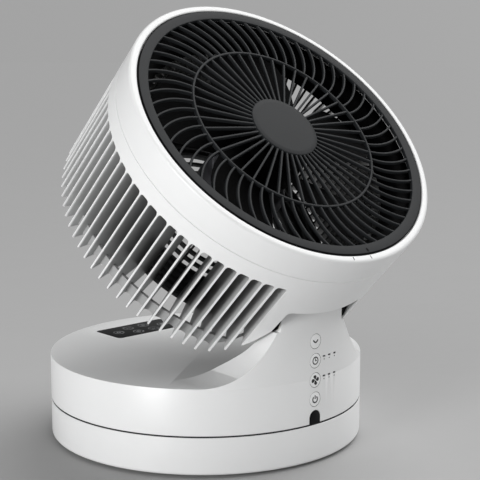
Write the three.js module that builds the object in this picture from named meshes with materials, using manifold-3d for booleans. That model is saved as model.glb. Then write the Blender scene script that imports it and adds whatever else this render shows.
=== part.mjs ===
// Air circulator fan: a drum head with a fin cage, hinged on the neck of a round swivelling base.
// Millimetres, +Z up, -Y is the front (the side with the neck and the buttons).
// Heights below are measured from the floor. The finished group is then lowered so that the
// origin lies on the axis of the round base, on the underside of its bottom plate.
import * as THREE from 'three';
import { mergeVertices } from 'three/addons/utils/BufferGeometryUtils.js';
import Module from 'manifold-3d';

const wasm = await Module();
wasm.setup();

// ---------------------------------------------------------------- driving dimensions

const FIT = 0.3;                  // gap between faces that touch on the real object
const ROUND = 64;                 // facets of the large circles
const MIDDLE_ROUND = 36;          // facets of motor-sized circles
const SMALL_ROUND = 24;           // facets of button-sized circles

const BASE_R = 146;               // outer radius of both halves of the base
const WALL = 3;                   // moulding thickness of the base shells
const FOOT_H = 2.2;
const PLATE_Z = FOOT_H + FIT;     // underside of the base
const DECK_Z = 36;                // top of the static lower half
const PLATE_R = 121.5;            // bottom plate, inside the ring of feet
const TOE_R = 140.3;              // inner edge of the base wall's foot
const SWIVEL_Z = 37.2;            // underside of the swivelling upper half
const FLAT_Z = 79;                // flat top of the upper half
const FOOT_COUNT = 7;
const FOOT_PHASE = 3;             // degrees, where the first foot sits from the front

const PIVOT_Y = -133;             // tilt axis, along X
const PIVOT_Z = 132;
const REST_TILT = 45.5;           // degrees, drum axis above the horizontal at rest

const NECK_ELLIPSE_X = 100.8;     // the neck's flanks are quarter ellipses in the front view
const NECK_ELLIPSE_Z = 225.7;
const NECK_ELLIPSE_A = 83.3;
const NECK_ELLIPSE_B = 147;
const NOTCH_ELLIPSE_A = 74.5;     // the drum's notch runs round the neck with a gap
const NOTCH_ELLIPSE_B = 144.5;
const KNUCKLE_HALF = 37;          // half width of the neck at its hinge
const KNUCKLE_R = 13;
const EAR_R = 7.5;                // the drum's hinge ears, beside the knuckle
const NECK_LIP_Z = 153;           // top of the thin lip that fills the notch when the drum stands up

const DRUM_R = 147.5;             // outer radius of the drum
const DRUM_WALL = 3;
const DRUM_TOP_Z = 229.3;         // front face of the drum when the drum stands straight up
const SEAM_H = -27.7;             // heights below the front face, along the drum's axis
const SLOT_H = -43.6;
const NOTCH_H = -71.7;
const TAIL_H = -145.5;            // tips of the fins
const FIN_COUNT = 80;
const FIN_PHASE = -0.9;           // degrees
const FIN_T = 2;
const FIN_IN_R = 114.8;
const TAIL_SLOPE = 0.47;          // the fins' rear edges run forward towards the axis
const SADDLE_FINS = 5;            // fin places each side of the neck that are a plain wall
const NOTCH_HALF = 44;

const GRILLE_R = 139.9;
const GRILLE_FLANGE_R = 130.2;
const GRILLE_RING_R = 88.4;
const GRILLE_HUB_R = 32.4;
const GRILLE_DEPTH = 3.4;
const SPOKE_W = 1.9;
const INNER_SPOKES = 45;
const OUTER_SPOKES = 60;
const SPOKE_SWEEP = 8;            // degrees that an outer spoke runs ahead at the flange
const GRILLE_LUGS = 3;
const TWIST = 8.5;                // degrees between the two ticks on the rim

const BLADES = 5;
const BLADE_PHASE = 64;           // degrees, where the first blade's root sits
const BLADE_R = 114.5;
const DUCT_R = 118;               // bore of the black air duct
const DUCT_H = -33;               // rear edge of the duct
const GUARD_RINGS = [57, 68];
const GUARD_DISH_R = 78;          // inner edge of the closed part of the rear guard
const GUARD_RIDGES = [86, 95, 104];
const GUARD_RIBS = 6;
const MOTOR_R = 40;
const SHAFT_R = 4;

const BUTTON_R = 6.4;
const BUTTON_Z = [111.1, 93.8, 76.5, 59.2];
const BUTTON_NAMES = ['button_swing', 'button_timer', 'button_speed', 'button_power'];
const LIGHT_X = [11.1, 18.2, 25.9];
const LIGHT_Z = { timer_lights: 96.1, speed_lights: 78.4 };
const IR_HALF = 6.8;
const IR_TOP = 49.5;
const REMOTE = { x: 41.2, y0: 80.6, y1: 120.4, h: 6 };
const BOARD_Y = -137.4;           // front face of the control board

const GEAR_MODULE = 2;
const GEAR_TEETH = 36;
const PINION_TEETH = 12;
const GEAR_Z = 43.2;
const GEAR_H = 5;
const POST_R = 12;

const GEAR_SPACING = (GEAR_MODULE * (GEAR_TEETH + PINION_TEETH)) / 2;
const PIN_R = 4;

const RAD = Math.PI / 180;

// ---------------------------------------------------------------- materials

const colour = (hex, roughness, metalness = 0) =>
  new THREE.MeshStandardMaterial({ color: hex, roughness, metalness });

const WHITE = colour(0xf1f1f0, 0.35);
const BLACK = colour(0x17181a, 0.4);
const GRILLE_GREY = colour(0x33363a, 0.45);
const RUBBER = colour(0x2a2a2b, 0.9);
const STEEL = colour(0xb4b6b8, 0.35, 1);
const DARK_STEEL = colour(0x55585b, 0.45, 1);
const COPPER_RED = colour(0x9a5a3a, 0.5, 0.6);
const NYLON = colour(0xe6e2d6, 0.6);
const BOARD_GREEN = colour(0x2f6b45, 0.6);
const LENS = colour(0xd8dde0, 0.2);

// ---------------------------------------------------------------- shape helpers

// A closed three.js geometry becomes a solid: shared corners merged, empty facets dropped,
// and the facets turned to face out.
function solid(geometry) {
  const bare = geometry.clone();
  for (const name of Object.keys(bare.attributes)) {
    if (name !== 'position') bare.deleteAttribute(name);
  }
  const merged = mergeVertices(bare, 1e-3);
  const points = merged.attributes.position.array;
  const corners = [...merged.index.array];
  const facets = [];
  let volume = 0;
  for (let i = 0; i < corners.length; i += 3) {
    const [a, b, c] = corners.slice(i, i + 3);
    if (a === b || b === c || c === a) continue;
    facets.push([a, b, c]);
    const [va, vb, vc] = [a, b, c].map((k) => new THREE.Vector3().fromArray(points, 3 * k));
    volume += va.dot(vb.cross(vc));
  }
  const outward = volume < 0 ? facets.map(([a, b, c]) => [a, c, b]) : facets;
  const triVerts = new Uint32Array(outward.flat());
  const vertProperties = new Float32Array(points);
  return new wasm.Manifold(new wasm.Mesh({ numProp: 3, vertProperties, triVerts }));
}

const join = (parts) => parts.reduce((whole, part) => whole.add(part));
const cut = (whole, parts) => parts.reduce((rest, part) => rest.subtract(part), whole);

// Revolves a profile of [radius, height] points round Z.
function lathe(profile, facets = ROUND) {
  const onAxis = profile[0][0] === 0 && profile.at(-1)[0] === 0;
  const closed = onAxis ? profile : [...profile, profile[0]];
  const points = closed.map(([r, z]) => new THREE.Vector2(r, z));
  return solid(new THREE.LatheGeometry(points, facets).rotateX(Math.PI / 2));
}

const ring = (inner, outer, z0, z1, facets = ROUND) =>
  lathe([[inner, z0], [outer, z0], [outer, z1], [inner, z1]], facets);

const disc = (radius, z0, z1, facets = ROUND) =>
  lathe([[0, z0], [radius, z0], [radius, z1], [0, z1]], facets);

function box(x0, x1, y0, y1, z0, z1) {
  const geometry = new THREE.BoxGeometry(x1 - x0, y1 - y0, z1 - z0);
  geometry.translate((x0 + x1) / 2, (y0 + y1) / 2, (z0 + z1) / 2);
  return solid(geometry);
}

// Extrudes an outline of [x, y] points along Z.
function prism(outline, z0, z1, holes = []) {
  const shape = new THREE.Shape(outline.map(([x, y]) => new THREE.Vector2(x, y)));
  for (const hole of holes) {
    shape.holes.push(new THREE.Path(hole.map(([x, y]) => new THREE.Vector2(x, y))));
  }
  const geometry = new THREE.ExtrudeGeometry(shape, { depth: z1 - z0, bevelEnabled: false });
  return solid(geometry.translate(0, 0, z0));
}

// A solid drawn in x and z, extruded along Y from y0 to y1.
const frontPrism = (outline, y0, y1) =>
  prism(outline.map(([x, z]) => [x, -z]), y0, y1).rotate([-90, 0, 0]);

// A solid drawn in y and z, extruded along X from x0 to x1.
const sidePrism = (outline, x0, x1) =>
  prism(outline, x0, x1).rotate([90, 0, 90]);

const circle = (x, y, r, facets = SMALL_ROUND) =>
  Array.from({ length: facets }, (_, i) => {
    const a = (2 * Math.PI * i) / facets;
    return [x + r * Math.cos(a), y + r * Math.sin(a)];
  });

const arc = (x, y, r, from, to, steps) =>
  Array.from({ length: steps + 1 }, (_, i) => {
    const a = (from + ((to - from) * i) / steps) * RAD;
    return [x + r * Math.cos(a), y + r * Math.sin(a)];
  });

// A bar or rod along X or along Y.
const rodX = (r, y, z, x0, x1, facets = SMALL_ROUND) =>
  sidePrism(circle(y, z, r, facets), x0, x1);

const rodY = (r, x, z, y0, y1, facets = SMALL_ROUND) =>
  frontPrism(circle(x, z, r, facets), y0, y1);

function mesh(name, body, material) {
  const { vertProperties, triVerts } = body.getMesh();
  const geometry = new THREE.BufferGeometry();
  geometry.setAttribute('position', new THREE.BufferAttribute(new Float32Array(vertProperties), 3));
  geometry.setIndex(new THREE.BufferAttribute(new Uint32Array(triVerts), 1));
  const flat = geometry.toNonIndexed();
  flat.computeVertexNormals();
  const result = new THREE.Mesh(flat, material);
  result.name = name;
  return result;
}

// ---------------------------------------------------------------- static base

// The outer wall, with a toe inside it for the foot flange and a ledge for the deck.
function baseRing() {
  const inner = BASE_R - WALL;
  const ledge = DECK_Z - WALL - FIT;
  const shell = lathe([
    [TOE_R, PLATE_Z], [141, PLATE_Z], [144.6, PLATE_Z + 1.3], [BASE_R, PLATE_Z + 5],
    [BASE_R, DECK_Z], [inner, DECK_Z], [inner, ledge], [inner - 3, ledge], [inner, ledge - 3],
    [inner, PLATE_Z + 4.5], [TOE_R, PLATE_Z + 3],
  ]);
  const glandHole = rodY(6.3, 0, 17, BASE_R - 10, BASE_R + 10);
  return cut(shell, [glandHole]);
}

function bottomPlate(screws) {
  const plate = disc(PLATE_R, PLATE_Z, PLATE_Z + 2.7, MIDDLE_ROUND);
  return cut(plate, screws.map(([x, y]) =>
    disc(2.1, PLATE_Z - 1, PLATE_Z + 4, 12).translate([x, y, 0])));
}

function foot(angle) {
  const outline = [...arc(0, 0, 135, -7, 7, 3), ...arc(0, 0, PLATE_R + 1.5, 7, -7, 3)];
  return prism(outline, 0, FOOT_H).rotate([0, 0, angle]);
}

function swivelPost() {
  return lathe([
    [8, DECK_Z - 6.3], [48, DECK_Z - 6.3], [48, DECK_Z - 3.3], [POST_R, DECK_Z - 3.3],
    [POST_R, 54], [8, 54],
  ], SMALL_ROUND);
}

// Straight-flanked teeth, a little thin for running clearance.
function gear(teeth, bore, z0, z1, phase) {
  const pitchR = (GEAR_MODULE * teeth) / 2;
  const step = (2 * Math.PI) / teeth;
  const levels = [[pitchR - 1.25 * GEAR_MODULE, 0.3], [pitchR + 0.9 * GEAR_MODULE, 0.1]];
  const outline = [];
  for (let i = 0; i < teeth; i += 1) {
    const centre = phase + i * step;
    const sides = [...levels.map(([r, w]) => [r, -w]), ...levels.map(([r, w]) => [r, w]).reverse()];
    for (const [r, offset] of sides) {
      const a = centre + offset * step;
      outline.push([r * Math.cos(a), r * Math.sin(a)]);
    }
  }
  const hole = bore > 0 ? [circle(0, 0, bore).reverse()] : [];
  return prism(outline, z0, z1, hole);
}

function base() {
  const group = new THREE.Group();
  const screws = [45, 135, 225, 315].map((a) => [110 * Math.cos(a * RAD), 110 * Math.sin(a * RAD)]);
  group.add(mesh('base_ring', baseRing(), WHITE));
  const flange = ring(PLATE_R + 1.2, TOE_R - FIT, PLATE_Z, PLATE_Z + 3, ROUND / 2);
  group.add(mesh('foot_flange', flange, WHITE));
  const deck = ring(40, BASE_R - WALL - FIT, DECK_Z - WALL, DECK_Z);
  group.add(mesh('base_deck', deck, WHITE));
  group.add(mesh('bottom_plate', bottomPlate(screws), BLACK));
  group.add(mesh('ballast_plate', ring(20, 98, PLATE_Z + 3, PLATE_Z + 9, MIDDLE_ROUND), DARK_STEEL));
  screws.forEach(([x, y], i) => {
    const screw = lathe([
      [0, PLATE_Z + 0.4], [1.7, PLATE_Z + 0.4], [1.7, PLATE_Z + 10], [0, PLATE_Z + 10],
    ], 8);
    group.add(mesh(`base_screw_${i + 1}`, screw.translate([x, y, 0]), STEEL));
  });
  for (let i = 0; i < FOOT_COUNT; i += 1) {
    const angle = -90 + FOOT_PHASE + (360 / FOOT_COUNT) * i;
    group.add(mesh(`foot_${i + 1}`, foot(angle), RUBBER));
  }
  group.add(mesh('swivel_post', swivelPost(), NYLON));
  group.add(mesh('slip_ring', ring(92, 112, DECK_Z + FIT, SWIVEL_Z - FIT, MIDDLE_ROUND), NYLON));
  group.add(mesh('retaining_washer', ring(POST_R + FIT, 30, 40.5, 42.9, SMALL_ROUND), STEEL));
  const fixedGear = gear(GEAR_TEETH, POST_R + FIT, GEAR_Z, GEAR_Z + GEAR_H, Math.PI / 2);
  group.add(mesh('fixed_gear', fixedGear, NYLON));
  const nut = prism(circle(0, 0, 18, 6), 48.6, 52.6, [circle(0, 0, POST_R + FIT).reverse()]);
  group.add(mesh('post_nut', nut, STEEL));
  const gland = lathe([[3.2, 0], [6, 0], [6, 8.3], [8, 8.3], [8, 10], [3.2, 10]], 16);
  group.add(mesh('cord_gland', gland.rotate([-90, 0, 0]).translate([0, BASE_R - 8, 17]), RUBBER));
  return group;
}

// ---------------------------------------------------------------- swivelling half

// Half width of the neck, or of the drum's notch round it, at a height.
function flank(z, a, b) {
  const s = (z - NECK_ELLIPSE_Z) / b;
  return NECK_ELLIPSE_X - a * Math.sqrt(Math.max(0, 1 - s * s));
}

function neckOutline(inset, z0, z1) {
  const right = [];
  const steps = 14;
  for (let i = 0; i <= steps; i += 1) {
    const t = i / steps;
    const z = z0 + (z1 - z0) * t * t;
    right.push([Math.max(KNUCKLE_HALF, flank(z, NECK_ELLIPSE_A, NECK_ELLIPSE_B)) - inset, z]);
  }
  return [...right, ...right.map(([x, z]) => [-x, z]).reverse()];
}

// Radius of the neck's inner face, which leans out as it rises.
const NECK_INNER = [
  [119, FLAT_Z - 1], [116.4, 83], [116.8, 91], [121, 99], [126, 107.5], [132.5, 124],
];

function neckWall() {
  const wall = lathe([
    ...NECK_INNER, [BASE_R, 124], [BASE_R, FLAT_Z - 1],
  ]).intersect(frontPrism(neckOutline(0, FLAT_Z - 1, NECK_LIP_Z), -BASE_R - 5, -20));
  const lip = ring(BASE_R - WALL, BASE_R, 123, NECK_LIP_Z)
    .intersect(box(-KNUCKLE_HALF, KNUCKLE_HALF, -BASE_R - 5, -20, 122, NECK_LIP_Z + 1));
  const knuckle = rodX(KNUCKLE_R, PIVOT_Y, PIVOT_Z, -KNUCKLE_HALF, KNUCKLE_HALF)
    .intersect(disc(BASE_R, 100, 160));
  return join([wall, lip, knuckle]);
}

function neckHollow() {
  const top = 119;
  return lathe([
    [119.4, FLAT_Z - 8], [119.4, 91], [123.5, 99], [128.5, 107.5], [133.2, top],
    [BASE_R - WALL, top], [BASE_R - WALL, FLAT_Z - 8],
  ]).intersect(frontPrism(neckOutline(WALL, FLAT_Z - 8, top + 1), -BASE_R, -60));
}

function irOutline(half, z0) {
  return [[half, z0], ...arc(0, IR_TOP - IR_HALF, half, 0, 180, 10), [-half, z0]];
}

function swivelHousing() {
  const drum = lathe([
    [0, FLAT_Z - WALL], [BASE_R - WALL, FLAT_Z - WALL], [BASE_R - WALL, SWIVEL_Z],
    [BASE_R, SWIVEL_Z], [BASE_R, FLAT_Z - 0.8], [BASE_R - 0.8, FLAT_Z], [0, FLAT_Z],
  ]);
  const motorBoss = ring(18, 22, 70.3, FLAT_Z - 1, SMALL_ROUND).translate([0, GEAR_SPACING, 0]);
  const tub = box(-REMOTE.x - 3, REMOTE.x + 3, REMOTE.y0 - 3, REMOTE.y1 + 3,
    FLAT_Z - REMOTE.h - 3, FLAT_Z - 1);
  const recess = box(-REMOTE.x - 0.4, REMOTE.x + 0.4, REMOTE.y0 - 0.4, REMOTE.y1 + 0.4,
    FLAT_Z - REMOTE.h - 0.4, FLAT_Z + 5);
  const buttonHoles = BUTTON_Z.map((z) => rodY(BUTTON_R + 0.4, 0, z, -BASE_R - 5, PIVOT_Y - 3));
  const lightHoles = Object.values(LIGHT_Z).flatMap((z) =>
    LIGHT_X.map((x) => box(x - 1.7, x + 1.7, -BASE_R - 5, PIVOT_Y, z - 0.8, z + 0.8)));
  const irHole = frontPrism(irOutline(IR_HALF, SWIVEL_Z - 2), -BASE_R - 5, PIVOT_Y);
  const pinHole = rodX(PIN_R + FIT, PIVOT_Y, PIVOT_Z, -60, 60, 16);
  const earPockets = [[-60, -KNUCKLE_HALF], [KNUCKLE_HALF, 60]].map(([x0, x1]) =>
    rodX(EAR_R + 0.8, PIVOT_Y, PIVOT_Z, x0, x1));
  return cut(join([drum, neckWall(), tub, motorBoss]),
    [neckHollow(), recess, irHole, pinHole, ...earPockets, ...buttonHoles, ...lightHoles]);
}

function button(z) {
  const cap = rodY(BUTTON_R, 0, z, -BASE_R - 1, BOARD_Y - 3.8)
    .intersect(ring(60, BASE_R, z - 10, z + 10));
  const flange = rodY(BUTTON_R + 1.2, 0, z, BOARD_Y - 4.9, BOARD_Y - 3.6);
  const stem = rodY(2, 0, z, BOARD_Y - 4, BOARD_Y - 1.3, 8);
  return join([cap, flange, stem]);
}

function lightGuide(z) {
  const bar = box(LIGHT_X[0] - 1.4, LIGHT_X[2] + 1.4, BOARD_Y - 2.4, BOARD_Y - 0.8, z - 0.9, z + 0.9);
  const prongs = LIGHT_X.map((x) =>
    box(x - 1.4, x + 1.4, -BASE_R - 2, BOARD_Y - 1, z - 0.5, z + 0.5)
      .intersect(ring(60, BASE_R - 0.1, z - 5, z + 5)));
  return join([bar, ...prongs]);
}

function remoteControl() {
  const r = 4;
  const { x, y0, y1, h } = REMOTE;
  const outline = [
    ...arc(x - r, y0 + r, r, -90, 0, 4), ...arc(x - r, y1 - r, r, 0, 90, 4),
    ...arc(-x + r, y1 - r, r, 90, 180, 4), ...arc(-x + r, y0 + r, r, 180, 270, 4),
  ];
  return prism(outline, FLAT_Z - h, FLAT_Z);
}

function swivel() {
  const group = new THREE.Group();
  group.add(mesh('swivel_housing', swivelHousing(), WHITE));
  const floor = ring(POST_R + 0.6, BASE_R - WALL - FIT, SWIVEL_Z, SWIVEL_Z + WALL, 48);
  group.add(mesh('swivel_floor', cut(floor, [
    box(-IR_HALF - 2, IR_HALF + 2, -BASE_R, PIVOT_Y, SWIVEL_Z - 1, SWIVEL_Z + 5),
  ]), BLACK));
  group.add(mesh('swing_motor', disc(24, 52, 70, SMALL_ROUND).translate([0, GEAR_SPACING, 0]), STEEL));
  const pinion = join([
    gear(PINION_TEETH, 0, GEAR_Z + 0.2, GEAR_Z + GEAR_H - 0.2, -Math.PI / 2 + Math.PI / PINION_TEETH),
    disc(3, GEAR_Z + GEAR_H - 1, 51.7, 12),
  ]);
  group.add(mesh('swing_pinion', pinion.translate([0, GEAR_SPACING, 0]), NYLON));
  group.add(mesh('control_board', box(-30, 30, BOARD_Y, BOARD_Y + 1.6, 46, 117), BOARD_GREEN));
  BUTTON_NAMES.forEach((name, i) => group.add(mesh(name, button(BUTTON_Z[i]), WHITE)));
  for (const [name, z] of Object.entries(LIGHT_Z)) {
    group.add(mesh(name, lightGuide(z), LENS));
  }
  const irWindow = frontPrism(irOutline(IR_HALF - FIT, SWIVEL_Z), -BASE_R - 5, -BASE_R + 4)
    .intersect(ring(100, BASE_R, SWIVEL_Z, FLAT_Z));
  group.add(mesh('ir_window', irWindow, BLACK));
  group.add(mesh('remote_control', remoteControl(), BLACK));
  group.add(mesh('tilt_pin', rodX(PIN_R, PIVOT_Y, PIVOT_Z, -43, 43, 16), STEEL));
  for (const [name, side] of [['friction_washer_left', -1], ['friction_washer_right', 1]]) {
    const washer = ring(PIN_R + FIT, EAR_R, KNUCKLE_HALF + FIT, KNUCKLE_HALF + 0.9, 16);
    const placed = washer.rotate([0, 90 * side, 0]).translate([0, PIVOT_Y, PIVOT_Z]);
    group.add(mesh(name, placed, NYLON));
  }
  return group;
}

// ---------------------------------------------------------------- drum head
// Drawn in the drum's own frame: z is the height above the front face, along the drum's axis.

const PIVOT_H = PIVOT_Z - DRUM_TOP_Z;

function frontBezel() {
  const shell = lathe([
    [DRUM_R - DRUM_WALL, SEAM_H], [DRUM_R, SEAM_H], [DRUM_R, -2],
    [DRUM_R - 2.1, 0], [140.5, 0], [140.5, -3.8], [133, -3.8], [133, -6.2],
    [DRUM_R - DRUM_WALL, -6.2],
  ]);
  const gaps = [];
  for (let i = 0; i < GRILLE_LUGS; i += 1) {
    const gap = prism([...arc(0, 0, 136.5, -3.4, 3.4, 3), ...arc(0, 0, 130, 3.4, -3.4, 3)], -8, -3);
    gaps.push(gap.rotate([0, 0, 30 - TWIST + (360 / GRILLE_LUGS) * i]));
  }
  return cut(shell, gaps);
}

// The drum's notch, cut square to the front in the upright pose, so that the neck fills it.
function notch() {
  const z0 = FLAT_Z - 6;
  const right = [];
  const steps = 16;
  for (let i = 0; i <= steps; i += 1) {
    const t = i / steps;
    const z = 81.3 + (132 - 81.3) * t * t;
    right.push([Math.max(NOTCH_HALF, flank(z, NOTCH_ELLIPSE_A, NOTCH_ELLIPSE_B)), z - DRUM_TOP_Z]);
  }
  const corner = arc(NOTCH_HALF - 5, NOTCH_H - 5, 5, 0, 90, 4);
  const half = [[right[0][0], z0 - DRUM_TOP_Z], ...right, ...corner];
  return frontPrism([...half, ...half.map(([x, z]) => [-x, z]).reverse()], -DRUM_R - 5, -60);
}

function fin() {
  const tailAt = (r) => TAIL_H + TAIL_SLOPE * (DRUM_R - r);
  const outline = [
    [FIN_IN_R, SLOT_H + 1], [DRUM_R - 0.1, SLOT_H + 1], [DRUM_R, TAIL_H], [FIN_IN_R, tailAt(FIN_IN_R)],
  ];
  return sidePrism(outline, -FIN_T / 2, FIN_T / 2).rotate([0, 0, -90]);
}

function rearHousing() {
  const step = 360 / FIN_COUNT;
  const band = lathe([
    [DRUM_R - DRUM_WALL, SEAM_H - 0.4], [DRUM_R, SEAM_H - 0.4], [DRUM_R, SLOT_H], [135, SLOT_H],
    [135, SLOT_H + 2.2], [DRUM_R - DRUM_WALL, SLOT_H + 2.2],
  ], FIN_COUNT).rotate([0, 0, FIN_PHASE]);
  const blade = fin();
  const fins = [];
  for (let k = SADDLE_FINS; k <= FIN_COUNT - SADDLE_FINS; k += 1) {
    fins.push(blade.rotate([0, 0, 270 + FIN_PHASE + k * step]));
  }
  const reach = SADDLE_FINS * step;
  const middle = 270 + FIN_PHASE;
  const saddle = prism([
    ...arc(0, 0, DRUM_R, middle - reach, middle + reach, 2 * SADDLE_FINS),
    ...arc(0, 0, DRUM_R - DRUM_WALL, middle + reach, middle - reach, 2 * SADDLE_FINS),
  ], TAIL_H, SLOT_H + 1);
  const tailRing = ring(137.8, 140.3, -140.9, -128, FIN_COUNT).rotate([0, 0, FIN_PHASE]);
  return cut(join([band, saddle, tailRing, ...fins]), [notch()]);
}

// The rear guard: a closed dish with ridges, and inside it deep rings on radial ribs
// round a plate behind the motor.
function rearGuard() {
  const facets = 4 * GUARD_RIBS;
  const ridges = GUARD_RIDGES.flatMap((r) =>
    [[r - 2.2, -130], [r - 1.2, -127.6], [r + 1.2, -127.6], [r + 2.2, -130]]);
  const dish = lathe([
    [GUARD_DISH_R, -132.6], [114.5, -132.6], [114.5, -127.4], [112, -127.4], [111, -130],
    ...ridges.reverse(), [GUARD_DISH_R + 2.4, -130], [GUARD_DISH_R + 1.8, -127.4],
    [GUARD_DISH_R, -127.4],
  ], facets);
  const plate = disc(46, -131, -128.4, facets);
  const bars = GUARD_RINGS.map((r) => ring(r - 1.4, r + 1.4, -131.6, -127.4, facets));
  const ribs = [];
  for (let i = 0; i < GUARD_RIBS; i += 1) {
    const rib = box(44, GUARD_DISH_R + 1, -1, 1, -132.6, -130.6);
    ribs.push(rib.rotate([0, 0, (360 / GUARD_RIBS) * (i + 0.5)]));
  }
  return join([dish, plate, ...bars, ...ribs]);
}

function airDuct() {
  return lathe([
    [DUCT_R, DUCT_H], [DUCT_R, -24], [122, -14], [129, -9.5], [143.8, -9.5], [143.8, -11.7],
    [129.5, -11.7], [DUCT_R + 2.2, -24], [DUCT_R + 2.2, DUCT_H],
  ], 40);
}

// The front grille: a flat disc of straight inner spokes and swept outer spokes.
function outerSpoke() {
  const from = GRILLE_RING_R;
  const to = GRILLE_FLANGE_R + 1;
  const steps = 2;
  const left = [];
  const right = [];
  for (let i = 0; i <= steps; i += 1) {
    const t = i / steps;
    const r = from + (to - from) * t;
    const angle = SPOKE_SWEEP * RAD * Math.pow(t, 1.7);
    const slope = t > 0 ? (1.7 * SPOKE_SWEEP * RAD * Math.pow(t, 0.7) * r) / (to - from) : 0;
    const half = (SPOKE_W / 2) * Math.hypot(1, slope);
    left.push([r * Math.cos(angle + half / r), r * Math.sin(angle + half / r)]);
    right.push([r * Math.cos(angle - half / r), r * Math.sin(angle - half / r)]);
  }
  return prism([...right, ...left.reverse()], -GRILLE_DEPTH, -0.5);
}

function frontGrille() {
  const flange = ring(GRILLE_FLANGE_R, GRILLE_R, -GRILLE_DEPTH, 0.3, OUTER_SPOKES);
  const middle = ring(GRILLE_RING_R - 1.1, GRILLE_RING_R + 1.1, -GRILLE_DEPTH, 0, OUTER_SPOKES);
  const hub = lathe([
    [0, -GRILLE_DEPTH], [GRILLE_HUB_R, -GRILLE_DEPTH], [GRILLE_HUB_R, 0], [28, 0.5], [0, 0.8],
  ], INNER_SPOKES);
  const spokes = [];
  for (let i = 0; i < INNER_SPOKES; i += 1) {
    const spoke = box(GRILLE_HUB_R - 1.5, GRILLE_RING_R - 0.5, -SPOKE_W / 2, SPOKE_W / 2,
      -GRILLE_DEPTH, -0.5);
    spokes.push(spoke.rotate([0, 0, (360 / INNER_SPOKES) * i]));
  }
  const swept = outerSpoke();
  for (let i = 0; i < OUTER_SPOKES; i += 1) {
    spokes.push(swept.rotate([0, 0, 0.5 + (360 / OUTER_SPOKES) * i]));
  }
  const lugs = [];
  for (let i = 0; i < GRILLE_LUGS; i += 1) {
    const stem = prism([...arc(0, 0, 132.6, -3, 3, 2), ...arc(0, 0, 130.4, 3, -3, 2)], -8.4, -3);
    const hook = prism([...arc(0, 0, 135.6, -3, 3, 2), ...arc(0, 0, 130.4, 3, -3, 2)], -8.4, -6.6);
    lugs.push(stem.add(hook).rotate([0, 0, 30 + (360 / GRILLE_LUGS) * i]));
  }
  return join([flange, middle, hub, ...spokes, ...lugs]);
}

// A blade is a thin block bent round the hub: u runs out from the hub, v across the blade.
// Its root reaches right round to the next blade, and it narrows to a rounded tip.
function blade() {
  const rows = [0, 0.4, 0.75, 0.92, 1];
  const geometry = new THREE.BoxGeometry(1, 1, 1, rows.length - 1, 4, 1);
  const place = geometry.attributes.position;
  for (let i = 0; i < place.count; i += 1) {
    const u = rows[Math.round((place.getX(i) + 0.5) * (rows.length - 1))];
    const rounding = Math.sqrt(1 - Math.pow(0.9 * Math.max(0, (u - 0.82) / 0.18), 2.5));
    const v = 2 * place.getY(i) * rounding;
    const r = 31 + (BLADE_R - 31) * u;
    const angle = (14 * u + v * (35.5 - 18 * u)) * RAD;
    const rise = 3.4 * u - v * (14 - 7 * u);
    const camber = -5 * (1 - v * v) * u;
    place.setXYZ(i, r * Math.cos(angle), r * Math.sin(angle), -28 + rise + camber + 2.2 * place.getZ(i));
  }
  return solid(geometry);
}

function impeller() {
  const hub = lathe([
    [SHAFT_R + FIT, -13], [28, -15], [34, -21], [34, -46], [31.5, -46], [31.5, -22],
    [10, -17.5], [10, -34], [SHAFT_R + FIT, -34],
  ], MIDDLE_ROUND);
  const blades = [];
  for (let i = 0; i < BLADES; i += 1) {
    blades.push(blade().rotate([0, 0, BLADE_PHASE + (360 / BLADES) * i]));
  }
  return join([hub, ...blades]);
}

function motorHousing() {
  return lathe([
    [SHAFT_R + 4, -70], [MOTOR_R - 4, -67], [MOTOR_R, -71], [MOTOR_R, -125], [MOTOR_R - 2, -125],
    [MOTOR_R - 2, -73], [12, -73], [12, -77], [SHAFT_R + 4, -77],
  ], SMALL_ROUND);
}

function motorCover() {
  return lathe([
    [0, -128.1], [MOTOR_R, -128.1], [MOTOR_R, -125.3], [12, -125.3], [12, -118],
    [SHAFT_R + 4, -118], [SHAFT_R + 4, -125.3], [0, -125.3],
  ], SMALL_ROUND);
}

// Two ears that hang from the drum's wall and carry the tilt pin beside the neck's knuckle.
function tiltBracket() {
  const top = -58;
  const front = PIVOT_Y - 4.6;
  const ear = [
    ...arc(PIVOT_Y, PIVOT_H, EAR_R, 180, 330, 6), [PIVOT_Y + 13, PIVOT_H + 10],
    [PIVOT_Y + 13, top], [front, top], [front, PIVOT_H + 10],
  ];
  const pinHole = rodX(PIN_R + FIT, PIVOT_Y, PIVOT_H, -60, 60, 16);
  const bridge = box(-42.2, 42.2, front, PIVOT_Y + 13, top - 4, top);
  return cut(join([sidePrism(ear, 38.2, 42.2), sidePrism(ear, -42.2, -38.2), bridge]), [pinHole]);
}

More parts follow.
